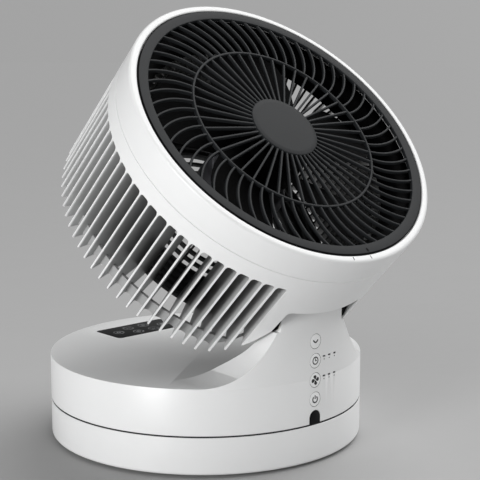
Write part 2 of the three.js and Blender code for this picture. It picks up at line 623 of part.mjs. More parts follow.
function head() {
  const group = new THREE.Group();
  const turn = (90 - REST_TILT) * RAD;
  const pivot = new THREE.Vector3(0, PIVOT_Y, PIVOT_Z);
  const local = new THREE.Vector3(0, PIVOT_Y, PIVOT_H).applyAxisAngle(new THREE.Vector3(1, 0, 0), turn);
  group.rotation.x = turn;
  group.position.copy(pivot.sub(local));
  group.add(mesh('front_bezel', frontBezel(), WHITE));
  group.add(mesh('air_duct', airDuct(), BLACK));
  group.add(mesh('rear_housing', rearHousing(), WHITE));
  group.add(mesh('rear_guard', rearGuard(), BLACK));
  group.add(mesh('front_grille', frontGrille(), GRILLE_GREY));
  group.add(mesh('impeller', impeller(), BLACK));
  group.add(mesh('impeller_nut', lathe([
    [0, -8], [5, -8.4], [8, -12], [SHAFT_R + FIT, -12], [SHAFT_R + FIT, -10], [0, -10],
  ], 16), BLACK));
  group.add(mesh('motor_shaft', disc(SHAFT_R, -124.9, -10.4, 16), STEEL));
  group.add(mesh('motor_rotor', ring(SHAFT_R + FIT, 23, -110, -84, SMALL_ROUND), DARK_STEEL));
  group.add(mesh('motor_stator', ring(24, MOTOR_R - 2 - FIT, -112, -82, SMALL_ROUND), COPPER_RED));
  group.add(mesh('bearing_front', ring(SHAFT_R + FIT, SHAFT_R + 3.7, -76.5, -70.5, 16), STEEL));
  group.add(mesh('bearing_rear', ring(SHAFT_R + FIT, SHAFT_R + 3.7, -124.5, -118.5, 16), STEEL));
  group.add(mesh('motor_housing', motorHousing(), DARK_STEEL));
  group.add(mesh('motor_cover', motorCover(), DARK_STEEL));
  group.add(mesh('tilt_bracket', tiltBracket(), BLACK));
  return group;
}

const fan = new THREE.Group();
fan.add(base(), swivel(), head());
fan.position.z = -PLATE_Z;
fan.updateMatrixWorld(true);

export default fan;
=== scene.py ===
import math

import bmesh
import bpy
from mathutils import Matrix, Vector


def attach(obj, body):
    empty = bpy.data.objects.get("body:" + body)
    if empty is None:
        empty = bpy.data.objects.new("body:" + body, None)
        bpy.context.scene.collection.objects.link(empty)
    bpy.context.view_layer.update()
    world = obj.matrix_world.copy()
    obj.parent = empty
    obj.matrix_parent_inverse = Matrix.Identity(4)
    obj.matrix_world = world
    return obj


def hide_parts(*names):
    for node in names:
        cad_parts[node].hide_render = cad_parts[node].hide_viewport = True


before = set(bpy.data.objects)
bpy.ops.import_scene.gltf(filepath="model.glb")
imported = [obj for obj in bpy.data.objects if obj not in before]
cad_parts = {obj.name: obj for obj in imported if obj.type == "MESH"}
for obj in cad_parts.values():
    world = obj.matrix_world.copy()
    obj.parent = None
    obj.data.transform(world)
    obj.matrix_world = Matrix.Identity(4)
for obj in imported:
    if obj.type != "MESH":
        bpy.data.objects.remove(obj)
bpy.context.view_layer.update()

MM = 0.001
RAD = math.pi / 180
FLOOR = -2.5                      # mm, the table top in the row frame
SEGMENTS = 192

# ------------------------------------------------------------------ the fan's sizes, in mm

BASE_R = 146
TOE_R = 140.3                     # the base wall's inner edge at its foot
WALL = 3                          # the base's wall and the drum's band
PLATE_Z = 2.5                     # underside of the base ring, above the table
DECK_Z = 36                       # top of the base's lower half
SWIVEL_Z = 37.2                   # foot of the base's upper half
FLAT_Z = 79                       # flat top of the base
GLAND_Z = 17
PIVOT = (-133, 132)               # y and z of the tilt hinge
NECK_HALF = 37                    # half width of the neck at the hinge
FLANK = (100.8, 225.7)            # x and z of the centre of the side curves
NECK_CURVE = (83.3, 147)          # half axes of the neck's side curve
NOTCH_CURVE = (74.5, 144.5)       # half axes of the drum's notch round the neck
TURN = 44.5                       # degrees from lying closed to the rest pose
DRUM_R = 147.5
DRUM_TOP = 229.3
SEAM_H = -27.7                    # heights below the drum's front face
SLOT_H = -43.6
NOTCH_H = -71.7
TAIL_H = -145.5
TAIL_SLOPE = 0.47
NOTCH_HALF = 44
NOTCH_LIP = 5
FIN_COUNT = 80
FIN_PHASE = -0.9
FIN_T = 2
FIN_IN_R = 114.8
SADDLE_FINS = 5                   # fin places on each side that the plain saddle takes up
SLOT_ROUND = 2.6                  # radius at the top of each slot
BLADES = 5
BLADE_PHASE = 64
ROOT_R = 31
TIP_R = 114.5
MOTOR_R = 40
BORE_R = 8
GUARD_RINGS = (57, 68)
GUARD_PLATE_R = 46
GUARD_DISH_R = 78
GUARD_RIDGES = (86, 95, 104)
GUARD_RIBS = 6
GRILLE_DEPTH = 3.4
GRILLE_HUB_R = 32.4
GRILLE_RING = (87.3, 89.5)
INNER_SPOKES = 45
OUTER_SPOKES = 60
SPOKE = (1.9, 3.0, 0.6)           # width, depth and rounding
LUG_TURN = 30
LOCK_TURN = 8.5                   # degrees that the grille turns to come off
BUTTON_Z = {"swing": 111.1, "timer": 93.8, "speed": 76.5, "power": 59.2}
BUTTON_R = 6.4
BUTTON_GAP = 0.4
LIGHT_X = (11.1, 18.2, 25.9)
LIGHT_Z = {"timer_lights": 96.1, "speed_lights": 78.4}
BOARD_Y = -137.4
CARD = (41.2, 19.9)               # half sizes of the remote
CARD_Y = 100.5

BASE = Matrix.Scale(MM, 4) @ Matrix.Translation((0, 0, FLOOR))
HEAD = (BASE @ Matrix.Translation((0, PIVOT[0], PIVOT[1])) @ Matrix.Rotation(TURN * RAD, 4, "X")
        @ Matrix.Translation((0, -PIVOT[0], DRUM_TOP - PIVOT[1])))

# ------------------------------------------------------------------ mesh helpers


def fillet(points, steps=4):
    """Rounds the corners of a closed outline of (x, y) or (x, y, radius) points."""
    out = []
    n = len(points)
    for i, p in enumerate(points):
        if len(p) < 3 or p[2] <= 0:
            out.append((p[0], p[1]))
            continue
        here = Vector(p[:2])
        a = Vector(points[i - 1][:2]) - here
        b = Vector(points[(i + 1) % n][:2]) - here
        angle = a.angle(b)
        back = min(p[2] / math.tan(angle / 2), 0.49 * a.length, 0.49 * b.length)
        radius = back * math.tan(angle / 2)
        centre = here + (a.normalized() + b.normalized()).normalized() * (radius / math.sin(angle / 2))
        start = here + a.normalized() * back - centre
        turn = start.angle_signed(here + b.normalized() * back - centre)
        for k in range(steps + 1):
            t = -turn * k / steps
            c, s = math.cos(t), math.sin(t)
            out.append((centre.x + start.x * c - start.y * s, centre.y + start.x * s + start.y * c))
    return out


def circle(x, y, r, n=48):
    return [(x + r * math.cos(2 * math.pi * i / n), y + r * math.sin(2 * math.pi * i / n))
            for i in range(n)]


def arc(x, y, r, a0, a1, n):
    """Points of an arc between two angles in degrees."""
    angles = [(a0 + (a1 - a0) * i / n) * RAD for i in range(n + 1)]
    return [(x + r * math.cos(a), y + r * math.sin(a)) for a in angles]


def lathe(profile, n=SEGMENTS):
    """Faces of a closed (radius, height) outline turned round Z."""
    verts, faces, rows = [], [], []
    for r, z in profile:
        if r < 1e-6:
            rows.append([len(verts)] * n)
            verts.append((0, 0, z))
        else:
            rows.append(list(range(len(verts), len(verts) + n)))
            verts += [(x, y, z) for x, y in circle(0, 0, r, n)]
    for j in range(len(rows)):
        a, b = rows[j], rows[(j + 1) % len(rows)]
        if a[0] == a[1] and b[0] == b[1]:
            continue
        for i in range(n):
            k = (i + 1) % n
            face = [a[i], a[k], b[k], b[i]]
            face = [v for m, v in enumerate(face) if v != face[m - 1]]
            faces.append(face)
    return verts, faces


def prism(outline, z0, z1):
    """A solid of one outline in x and y, from z0 to z1."""
    n = len(outline)
    verts = [(x, y, z) for z in (z0, z1) for x, y in outline]
    faces = [[i, (i + 1) % n, n + (i + 1) % n, n + i] for i in range(n)]
    faces += [list(range(n))[::-1], list(range(n, 2 * n))]
    return verts, faces


def box(x0, x1, y0, y1, z0, z1):
    return prism([(x0, y0), (x1, y0), (x1, y1), (x0, y1)], z0, z1)


def moved(shape, matrix):
    verts, faces = shape
    return [tuple(matrix @ Vector(v)) for v in verts], faces


def turned(shape, degrees):
    return moved(shape, Matrix.Rotation(degrees * RAD, 4, "Z"))


def merged(*shapes):
    verts, faces = [], []
    for v, f in shapes:
        faces += [[i + len(verts) for i in face] for face in f]
        verts += v
    return verts, faces


def front(outline, y0, y1):
    """A solid drawn in x and z, from y0 to y1."""
    return moved(prism([(x, -z) for x, z in outline], y0, y1), Matrix.Rotation(-90 * RAD, 4, "X"))


def side(outline, x0, x1):
    """A solid drawn in y and z, from x0 to x1."""
    verts, faces = prism(outline, x0, x1)
    return [(z, x, y) for x, y, z in verts], faces


def sweep(path, up, width, depth, corner):
    """A bar along a path. Its section hangs below the path and has two rounded corners."""
    w, up = width / 2, Vector(up)
    section = fillet([(-w, -depth), (w, -depth), (w, 0, corner), (-w, 0, corner)], 2)
    verts, faces = [], []
    n = len(section)
    for i, p in enumerate(path):
        after, before = path[min(i + 1, len(path) - 1)], path[max(i - 1, 0)]
        ahead = (Vector(after) - Vector(before)).normalized()
        across = ahead.cross(up).normalized()
        verts += [tuple(Vector(p) + across * x + up * y) for x, y in section]
    for i in range(len(path) - 1):
        for j in range(n):
            k = (j + 1) % n
            faces.append([i * n + j, i * n + k, (i + 1) * n + k, (i + 1) * n + j])
    faces += [list(range(n))[::-1], list(range(len(verts) - n, len(verts)))]
    return verts, faces


def tube(verts):
    """A solid bar whose sections have four points each. verts holds the sections one after another."""
    faces = []
    for i in range(0, len(verts) - 4, 4):
        for j in range(4):
            k = (j + 1) % 4
            faces.append([i + j, i + k, i + 4 + k, i + 4 + j])
    last = len(verts) - 4
    faces += [[0, 1, 2, 3], [last + 3, last + 2, last + 1, last]]
    return verts, faces


def smooth_line(points, steps=6):
    """A smooth curve through points."""
    out = []
    n = len(points)
    for i in range(n - 1):
        p0, p1, p2, p3 = (Vector(points[max(0, min(n - 1, i + k))]) for k in (-1, 0, 1, 2))
        for s in range(steps):
            t = s / steps
            out.append(tuple(0.5 * (2 * p1 + (p2 - p0) * t + (2 * p0 - 5 * p1 + 4 * p2 - p3) * t * t
                                    + (3 * p1 - p0 - 3 * p2 + p3) * t ** 3)))
    return out + [tuple(points[-1])]


def build(name, shape, place):
    """Makes a shape into an object, from millimetres in its own frame to metres in the row frame."""
    verts, faces = shape
    mesh = bpy.data.meshes.new(name)
    mesh.from_pydata(verts, [], faces)
    bm = bmesh.new()
    bm.from_mesh(mesh)
    bmesh.ops.recalc_face_normals(bm, faces=bm.faces)
    bm.to_mesh(mesh)
    bm.free()
    mesh.transform(place)
    obj = bpy.data.objects.new(name, mesh)
    bpy.context.scene.collection.objects.link(obj)
    return obj


def bake(obj):
    """Replaces an object's mesh by the result of its modifiers."""
    deps = bpy.context.evaluated_depsgraph_get()
    mesh = bpy.data.meshes.new_from_object(obj.evaluated_get(deps))
    obj.modifiers.clear()
    obj.data = mesh


def combine(obj, other, operation):
    """Adds another object to this one, or cuts with it. The other is used up."""
    mod = obj.modifiers.new("b", "BOOLEAN")
    mod.operation = operation
    mod.solver = "EXACT"
    mod.object = other
    bake(obj)
    bpy.data.objects.remove(other)


def boolean(obj, shape, operation, place):
    combine(obj, build("tool", shape, place), operation)


def bevel(obj, width, segments=2, angle=35):
    mod = obj.modifiers.new("bevel", "BEVEL")
    mod.width = width * MM
    mod.segments = segments
    mod.limit_method = "ANGLE"
    mod.angle_limit = angle * RAD
    mod.miter_outer = "MITER_ARC"
    bake(obj)


def piece(obj, body, material, replaces=(), sharp=32):
    """Finishes an object: its material, the body that it rides on, and the nodes that it stands for."""
    for polygon in obj.data.polygons:
        polygon.use_smooth = True
    obj.data.set_sharp_from_angle(angle=sharp * RAD)
    obj.data.materials.clear()
    obj.data.materials.append(material)
    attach(obj, body)
    if replaces:
        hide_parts(*replaces)


# ------------------------------------------------------------------ materials


ROUGH_SPAN = 0.08                 # how far the gloss wanders
SHEEN_EDGE = (0.52, 0.62)          # pointiness from which an edge gets the painted highlight


def add_node(tree, kind, **values):
    """A new shader node with its inputs set. A low line in a name stands for a space."""
    made = tree.nodes.new("ShaderNode" + kind)
    for key, value in values.items():
        made.inputs[key.replace("_", " ")].default_value = value
    return made


def scaled(colour, share):
    return (*[min(1, c * share) for c in colour], 1)


def surface(name, base, rough, grain, bump, tint, metallic=0.0, edge_sheen=0.0, brushed=False, specular=0.5):
    """A moulded or metal surface: fine grain, slow changes of tone and gloss, and where asked, sharp
    edges painted lighter as a painted highlight.
    """
    mat = bpy.data.materials.new(name)
    mat.use_nodes = True
    tree = mat.node_tree
    shader = tree.nodes["Principled BSDF"]
    shader.inputs["Metallic"].default_value = metallic
    shader.inputs["Specular IOR Level"].default_value = specular
    spot = add_node(tree, "TexCoord").outputs["Object"]
    if brushed:
        stretch = add_node(tree, "Mapping", Scale=(1.0, 1.0, 14.0))
        tree.links.new(spot, stretch.inputs["Vector"])
        spot = stretch.outputs["Vector"]
    slow = add_node(tree, "TexNoise", Scale=14.0, Detail=4.0)
    fine = add_node(tree, "TexNoise", Scale=grain, Detail=3.0)
    for texture in (slow, fine):
        tree.links.new(spot, texture.inputs["Vector"])
    tone = add_node(tree, "ValToRGB")
    tone.color_ramp.elements[0].position = 0.3
    tone.color_ramp.elements[1].position = 0.7
    tone.color_ramp.elements[0].color = scaled(base, 1 - tint)
    tone.color_ramp.elements[1].color = scaled(base, 1 + tint)
    tree.links.new(slow.outputs["Fac"], tone.inputs["Fac"])
    colour = tone.outputs["Color"]
    # Painted highlight: sharp edges are mixed towards a lighter colour.
    if edge_sheen:
        geometry = add_node(tree, "NewGeometry")
        edge = add_node(tree, "MapRange", From_Min=SHEEN_EDGE[0], From_Max=SHEEN_EDGE[1], To_Max=edge_sheen)
        tree.links.new(geometry.outputs["Pointiness"], edge.inputs["Value"])
        mix = add_node(tree, "Mix")
        mix.data_type = "RGBA"
        tree.links.new(edge.outputs["Result"], mix.inputs["Factor"])
        tree.links.new(colour, mix.inputs["A"])
        mix.inputs["B"].default_value = (*[min(1, c * 1.6 + 0.03) for c in base], 1)
        colour = mix.outputs["Result"]
    tree.links.new(colour, shader.inputs["Base Color"])
    gloss = add_node(tree, "MapRange", To_Min=rough - ROUGH_SPAN / 2, To_Max=rough + ROUGH_SPAN / 2)
    tree.links.new(fine.outputs["Fac"], gloss.inputs["Value"])
    tree.links.new(gloss.outputs["Result"], shader.inputs["Roughness"])
    relief = add_node(tree, "Bump", Strength=bump, Distance=0.0003)
    tree.links.new(fine.outputs["Fac"], relief.inputs["Height"])
    tree.links.new(relief.outputs["Normal"], shader.inputs["Normal"])
    return mat


def paint_shade_inside(mat, stops):
    """Paints shade into a material of the drum: its colour darkens towards the drum's axis, as painted
    shade on the fins' flanks and the drum's inside. stops are (radius in mm, share of the colour).
    """
    tree = mat.node_tree
    coords = add_node(tree, "TexCoord")
    inverse = HEAD.inverted()
    turn = add_node(tree, "Mapping", Rotation=inverse.to_euler(), Scale=inverse.to_scale(),
                    Location=inverse.to_translation())
    flat = add_node(tree, "VectorMath")
    flat.operation = "MULTIPLY"
    flat.inputs[1].default_value = (1, 1, 0)
    reach = add_node(tree, "VectorMath")
    reach.operation = "LENGTH"
    inner, outer = stops[0][0], stops[-1][0]
    span = add_node(tree, "MapRange", From_Min=inner, From_Max=outer)
    blend = add_node(tree, "ValToRGB")
    ramp = blend.color_ramp
    while len(ramp.elements) < len(stops):
        ramp.elements.new(0.5)
    for element, (radius, share) in zip(ramp.elements, stops):
        element.position = (radius - inner) / (outer - inner)
        element.color = (share, share, share, 1)
    shader = tree.nodes["Principled BSDF"]
    colour = shader.inputs["Base Color"].links[0].from_socket
    shade = add_node(tree, "VectorMath")
    shade.operation = "SCALE"
    tree.links.new(coords.outputs["Object"], turn.inputs["Vector"])
    tree.links.new(turn.outputs["Vector"], flat.inputs[0])
    tree.links.new(flat.outputs["Vector"], reach.inputs[0])
    tree.links.new(reach.outputs["Value"], span.inputs["Value"])
    tree.links.new(span.outputs["Result"], blend.inputs["Fac"])
    tree.links.new(colour, shade.inputs[0])
    tree.links.new(blend.outputs["Color"], shade.inputs["Scale"])
    tree.links.new(shade.outputs["Vector"], shader.inputs["Base Color"])
    return mat


MOULDED = (0.86, 0.865, 0.865)
WHITE = surface("white_moulding", MOULDED, 0.36, 1400, 0.05, 0.012)
# Painted shade: the fin cage's white darkens towards the drum's axis, so the fins' flanks and inner
# edges look shaded.
WHITE_FINS_SHADED = paint_shade_inside(surface("white_fins_painted_shade", MOULDED, 0.4, 1400, 0.05, 0.012),
                          ((112, 0.08), (128, 0.3), (146, 0.52), (147.2, 1)))
WHITE_KEY = surface("white_key", (0.93, 0.935, 0.935), 0.4, 1800, 0.04, 0.015)
# The grille's sharp edges get the painted highlight.
GRILLE = surface("grille_grey", (0.015, 0.0165, 0.018), 0.46, 1600, 0.12, 0.08, edge_sheen=0.2, specular=0.1)
BLACK = surface("black_moulding", (0.0015, 0.0015, 0.0018), 0.65, 1200, 0.15, 0.12, specular=0.05)
DARK = surface("dark_moulding", (0.02, 0.021, 0.022), 0.55, 1200, 0.15, 0.12, specular=0.25)
GLOSS_BLACK = surface("gloss_black", (0.003, 0.0033, 0.004), 0.35, 1500, 0.02, 0.1, specular=0.1)
RUBBER = surface("rubber", (0.03, 0.03, 0.03), 0.8, 2400, 0.35, 0.1)
STEEL = surface("steel", (0.5, 0.5, 0.51), 0.34, 500, 0.15, 0.06, metallic=1, brushed=True)
DARK_STEEL = surface("dark_steel", (0.09, 0.09, 0.1), 0.5, 900, 0.3, 0.12, metallic=0.6)
COPPER = surface("winding", (0.42, 0.16, 0.07), 0.4, 420, 0.5, 0.2, metallic=0.7, brushed=True)
NYLON = surface("nylon", (0.74, 0.72, 0.64), 0.5, 1200, 0.12, 0.03)
BOARD = surface("board", (0.02, 0.13, 0.06), 0.45, 700, 0.3, 0.15)
LENS = surface("lens", (0.02, 0.021, 0.023), 0.3, 1500, 0.05, 0.1, specular=0.3)
INK = surface("ink", (0.012, 0.012, 0.013), 0.6, 1500, 0.05, 0.1)
PRINT = surface("pale_print", (0.45, 0.46, 0.47), 0.5, 1500, 0.05, 0.08)
GREY_PRINT = surface("grey_print", (0.09, 0.09, 0.095), 0.5, 1500, 0.05, 0.08)
# Near black, for painted shade: it fills the gap between the base's halves and the gaps round the keys,
# where there is only shade.
SHADE_BLACK = surface("painted_gap_shade", (0.02, 0.02, 0.021), 0.8, 1500, 0.05, 0.1, specular=0.1)

# ------------------------------------------------------------------ base

INNER_R = BASE_R - WALL
TO_BACK = Matrix.Rotation(-90 * RAD, 4, "X")       # turns a lathe's axis towards the back
DECK_IN_R = 40
SHELF = (122.7, 140)              # inner and outer radius of the ledge at the foot
GLAND_BORE_R = 6.3

ring = build("base_ring_shell", lathe(fillet([
    (TOE_R, PLATE_Z), (BASE_R, PLATE_Z, 5), (BASE_R, DECK_Z, 0.7), (INNER_R, DECK_Z), (INNER_R, 32.7),
    (140, 32.7), (INNER_R, 29.7), (INNER_R, 7, 1), (TOE_R, 5.5)], 6)), BASE)
gland_bore = prism(circle(0, 0, GLAND_BORE_R), 130, 150)
boolean(ring, moved(gland_bore, Matrix.Translation((0, 0, GLAND_Z)) @ TO_BACK), "DIFFERENCE", BASE)
piece(ring, "base", WHITE, ["base_ring"])

shelf_ring = build("foot_shelf", lathe(fillet([
    (SHELF[0], PLATE_Z, 0.5), (SHELF[1], PLATE_Z, 0.3), (SHELF[1], PLATE_Z + WALL, 0.3),
    (SHELF[0], PLATE_Z + WALL, 0.5)], 3)), BASE)
piece(shelf_ring, "base", WHITE, ["foot_flange"])

deck = build("deck_disc", lathe(fillet([
    (DECK_IN_R, DECK_Z - WALL, 0.4), (142.7, DECK_Z - WALL, 0.4), (142.7, DECK_Z, 0.6),
    (DECK_IN_R, DECK_Z, 0.6)], 3)), BASE)
piece(deck, "base", WHITE, ["base_deck"])

# Painted shade of the gap between the base's halves: a near black ring set inside the gap.
gap_shade_band = build("base_gap_painted_shade", lathe(fillet([
    (139, 36.05), (145.8, 36.05, 0.2), (145.8, 37.1, 0.2), (139, 37.1)], 2)), BASE)
piece(gap_shade_band, "base", SHADE_BLACK)

FEET = 7
pad_outline = arc(0, 0, 135, -7, 7, 12) + arc(0, 0, 123, 7, -7, 12)
for i in range(FEET):
    pad = build(f"foot_pad_{i + 1}", turned(prism(pad_outline, 0, 2.2), -87 + 360 / FEET * i), BASE)
    bevel(pad, 0.5, 3)
    piece(pad, "base", RUBBER, [f"foot_{i + 1}"])

bush = lathe(fillet([
    (3.2, 0), (6, 0, 0.4), (6, 8.3), (8, 8.3, 0.3), (8, 10, 0.8), (3.2, 10, 0.6)], 4), 64)
gland = build("cord_bush", moved(bush, Matrix.Translation((0, 138, GLAND_Z)) @ TO_BACK), BASE)
piece(gland, "base", RUBBER, ["cord_gland"])

# ------------------------------------------------------------------ swivel housing


def flank(z):
    """Half width of the neck at a height."""
    s = (z - FLANK[1]) / NECK_CURVE[1]
    return FLANK[0] - NECK_CURVE[0] * math.sqrt(max(0, 1 - s * s))


def neck_outline(inset, z0, z1, steps=60):
    right = []
    for i in range(steps + 1):
        t = i / steps
        z = z0 + (z1 - z0) * t * t
        right.append((max(NECK_HALF, flank(z)) - inset, z))
    return right + [(-x, z) for x, z in reversed(right)]


NECK_INNER = [(119, 78), (116.4, 83), (116.8, 91), (121, 99), (126, 107.5), (132.5, 124)]

neck = build("neck", lathe(smooth_line(NECK_INNER) + [(BASE_R, 124), (BASE_R, 78)]), BASE)
boolean(neck, front(neck_outline(0, 77.9, 153), -150, -20), "INTERSECT", BASE)
lip = build("lip", lathe([(INNER_R, 123), (BASE_R, 123), (BASE_R, 153), (INNER_R, 153)]), BASE)
boolean(lip, box(-NECK_HALF, NECK_HALF, -150, -20, 122, 154), "INTERSECT", BASE)
knuckle = build("knuckle", side(circle(*PIVOT, 13, 96), -NECK_HALF, NECK_HALF), BASE)
boolean(knuckle, lathe([(0, 100), (BASE_R, 100), (BASE_R, 160), (0, 160)]), "INTERSECT", BASE)

housing = build("swivel_shell", lathe([
    (0, FLAT_Z - WALL), (INNER_R, FLAT_Z - WALL), (INNER_R, SWIVEL_Z), (BASE_R - 0.6, SWIVEL_Z),
    (BASE_R, SWIVEL_Z + 0.6), (BASE_R, FLAT_Z - 1.2), (BASE_R - 0.35, FLAT_Z - 0.35),
    (BASE_R - 1.2, FLAT_Z), (0, FLAT_Z)]), BASE)
for part in (neck, lip, knuckle):
    combine(housing, part, "UNION")



def card_outline(grow, corner, steps):
    """The remote's outline, grown by a clearance."""
    x, y = CARD[0] + grow, CARD[1] + grow
    return fillet([(-x, CARD_Y - y, corner), (x, CARD_Y - y, corner), (x, CARD_Y + y, corner),
                   (-x, CARD_Y + y, corner)], steps)


boolean(housing, prism(card_outline(3, 6, 6), 70, 78), "UNION", BASE)
boss = lathe([(18, 70.3), (22, 70.3), (22, 78), (18, 78)], 64)
boolean(housing, moved(boss, Matrix.Translation((0, 48, 0))), "UNION", BASE)
hollow = build("hollow", lathe([
    (119.4, 71), (119.4, 91), (123.5, 99), (128.5, 107.5), (133.2, 119), (INNER_R, 119),
    (INNER_R, 71)]), BASE)
boolean(hollow, front(neck_outline(WALL, 71, 120), -BASE_R, -60), "INTERSECT", BASE)
combine(housing, hollow, "DIFFERENCE")
boolean(housing, prism(card_outline(0.4, 4.3, 8), 72.6, 85), "DIFFERENCE", BASE)


def ir_outline(half, z0):
    """The window's outline: straight sides under a half circle."""
    return [(half, z0)] + arc(0, 42.7, half, 0, 180, 32) + [(-half, z0)]


def cut_to_wall(obj, radius, z0, z1):
    """Keeps what lies within a radius of the base's axis."""
    boolean(obj, lathe([(60, z0), (radius, z0), (radius, z1), (60, z1)]), "INTERSECT", BASE)


holes = [front(circle(0, z, BUTTON_R + BUTTON_GAP, 64), -150, -136) for z in BUTTON_Z.values()]
holes += [box(x - 1.7, x + 1.7, -150, -133, z - 0.8, z + 0.8) for z in LIGHT_Z.values() for x in LIGHT_X]
holes.append(front(ir_outline(6.8, 35), -150, -133))
holes.append(side(circle(*PIVOT, 4.3, 48), -60, 60))
boolean(housing, merged(*holes), "DIFFERENCE", BASE)
for x0, x1 in ((-60, -NECK_HALF), (NECK_HALF, 60)):
    boolean(housing, side(circle(*PIVOT, 8.3, 64), x0, x1), "DIFFERENCE", BASE)
bevel(housing, 0.5, 2, 40)
piece(housing, "swivel", WHITE, ["swivel_housing"])

window = build("ir_pane", front(ir_outline(6.5, SWIVEL_Z), -150, -142), BASE)
cut_to_wall(window, BASE_R - 0.2, SWIVEL_Z, 60)
bevel(window, 0.25, 2)
piece(window, "swivel", GLOSS_BLACK, ["ir_window"])

# ------------------------------------------------------------------ buttons and lights


def on_wall(outline, radius, lift=0.0):
    """A thin mark that follows the round front wall, for the print and for the painted shade in the
    keys' gaps. The outline is in x and z.
    """
    n = len(outline)
    verts = []
    for r in (radius + lift, radius - 0.25):
        verts += [(x, -math.sqrt(r * r - x * x), z) for x, z in outline]
    faces = [[i, (i + 1) % n, n + (i + 1) % n, n + i] for i in range(n)]
    faces += [list(range(n))[::-1], list(range(n, 2 * n))]
    return verts, faces


def stroke(points, width):
    """The outline of a line of even width through (x, z) points."""
    left, right = [], []
    for i, p in enumerate(points):
        a = Vector(points[max(i - 1, 0)])
        b = Vector(points[min(i + 1, len(points) - 1)])
        d = (b - a).normalized() * width / 2
        left.append((p[0] - d.y, p[1] + d.x))
        right.append((p[0] + d.y, p[1] - d.x))
    return left + right[::-1]


def ring_strokes(x, z, r, width, a0=0, a1=360, n=40):
    """A ring or part ring as quads, so that it needs no hole."""
    out = []
    for i in range(n):
        b0 = a0 + (a1 - a0) * i / n
        b1 = a0 + (a1 - a0) * (i + 1) / n
        out.append(arc(x, z, r - width / 2, b0, b1, 1) + arc(x, z, r + width / 2, b1, b0, 1))
    return out


ICONS = {
    "swing": [stroke([(-2.9, 1.3), (-1.9, 0.1), (-0.8, -0.8), (0, -1.0), (0.8, -0.8), (1.9, 0.1),
                      (2.9, 1.3)], 1.3)],
    "timer": ring_strokes(0, 0, 3.1, 1.05) + [stroke([(0, 2.1), (0, -0.3)], 0.95),
                                              stroke([(-0.5, 0), (1.6, 0)], 0.95)],
    "speed": [],
    "power": ring_strokes(0, -0.2, 2.8, 1.25, 125, 415) + [stroke([(0, 3.6), (0, 0.1)], 1.25)],
}
for q in range(4):
    a = 12 + 90 * q
    lobe = [(r * math.cos((a + s) * RAD), r * math.sin((a + s) * RAD)) for r, s in
            ((0.3, 0), (2.0, -46), (3.6, -34), (4.5, -12), (4.5, 14), (3.5, 28), (2.0, 30))]
    ICONS["speed"].append(lobe)



def wall_marks(outlines, z, radius, lift=0.0):
    return merged(*[on_wall([(x, v + z) for x, v in outline], radius, lift) for outline in outlines])


for key, z in BUTTON_Z.items():
    cap = build(f"{key}_cap", front(circle(0, z, BUTTON_R, 64), -150, BOARD_Y - 3.8), BASE)
    cut_to_wall(cap, BASE_R - 0.1, z - 10, z + 10)
    bevel(cap, 0.55, 3)
    boolean(cap, front(circle(0, z, 7.6, 64), BOARD_Y - 4.9, BOARD_Y - 3.6), "UNION", BASE)
    boolean(cap, front(circle(0, z, 2, 32), BOARD_Y - 4, BOARD_Y - 1.3), "UNION", BASE)
    piece(cap, f"{key}_key", WHITE_KEY, [f"button_{key}"])
    icon = build(f"{key}_icon", wall_marks(ICONS[key], z, BASE_R - 0.08), BASE)
    piece(icon, f"{key}_key", INK)
    # A dark ring in each key's gap: painted shade of the gap round the cap.
    key_gap_shade = wall_marks(ring_strokes(0, 0, 6.62, 0.56), z, BASE_R - 0.3)
    key_gap_shade = build(f"{key}_outline", key_gap_shade, BASE)
    piece(key_gap_shade, "swivel", SHADE_BLACK)

for name, z in LIGHT_Z.items():
    shapes = [box(9.7, 27.3, BOARD_Y - 2.4, BOARD_Y - 0.8, z - 0.9, z + 0.9)]
    for x in LIGHT_X:
        tip = -math.sqrt((BASE_R - 0.15) ** 2 - x * x)
        shapes.append(box(x - 1.4, x + 1.4, tip, BOARD_Y - 1, z - 0.5, z + 0.5))
    guide = build(f"{name}_guide", merged(*shapes), BASE)
    bevel(guide, 0.12, 2)
    piece(guide, "swivel", LENS, [name])

# A short mark under each light.
dashes = [[(x - 0.6, z - 3.1), (x + 0.6, z - 3.1), (x + 0.6, z - 2.3), (x - 0.6, z - 2.3)]
          for z in LIGHT_Z.values() for x in LIGHT_X]
scales = build("scale_marks", wall_marks(dashes, 0, BASE_R, 0.06), BASE)
piece(scales, "swivel", INK)

# ------------------------------------------------------------------ remote control

remote = build("remote_card", prism(card_outline(0, 4, 8), 73, FLAT_Z), BASE)
bevel(remote, 0.5, 3)
piece(remote, "remote", GLOSS_BLACK, ["remote_control"])

keys = ((-27, 100.5), (-9, 92), (-9, 109), (10, 92), (10, 109), (28, 100.5))
signs = []
for x, y in keys:
    signs += ring_strokes(x, y, 5.2, 0.35, 0, 360, 36)
signs += ring_strokes(-27, 100.5, 1.9, 0.5, 30, 330, 20)
signs.append(stroke([(-27, 100.5), (-24.6, 100.5)], 0.5))
signs += ring_strokes(-9, 92, 1.8, 0.45, 0, 360, 20)
signs.append(stroke([(-9, 92), (-9, 93.3)], 0.4))
signs.append(stroke([(-11, 109), (-7, 109)], 0.55))
signs.append(stroke([(8, 109), (12, 109)], 0.55))
signs.append(stroke([(10, 107), (10, 111)], 0.55))
signs.append(stroke(arc(10, 94, 2.8, 225, 315, 8), 0.5))
for q in range(4):
    a = (45 + 90 * q) * RAD
    signs.append(circle(28 + 1.5 * math.cos(a), 100.5 + 1.5 * math.sin(a), 0.95, 16))
prints = [prism(sign, FLAT_Z - 0.15, FLAT_Z + 0.04) for sign in signs]
icons = build("remote_icons", merged(*prints), BASE)
piece(icons, "remote", PRINT)

# ------------------------------------------------------------------ drum: bezel

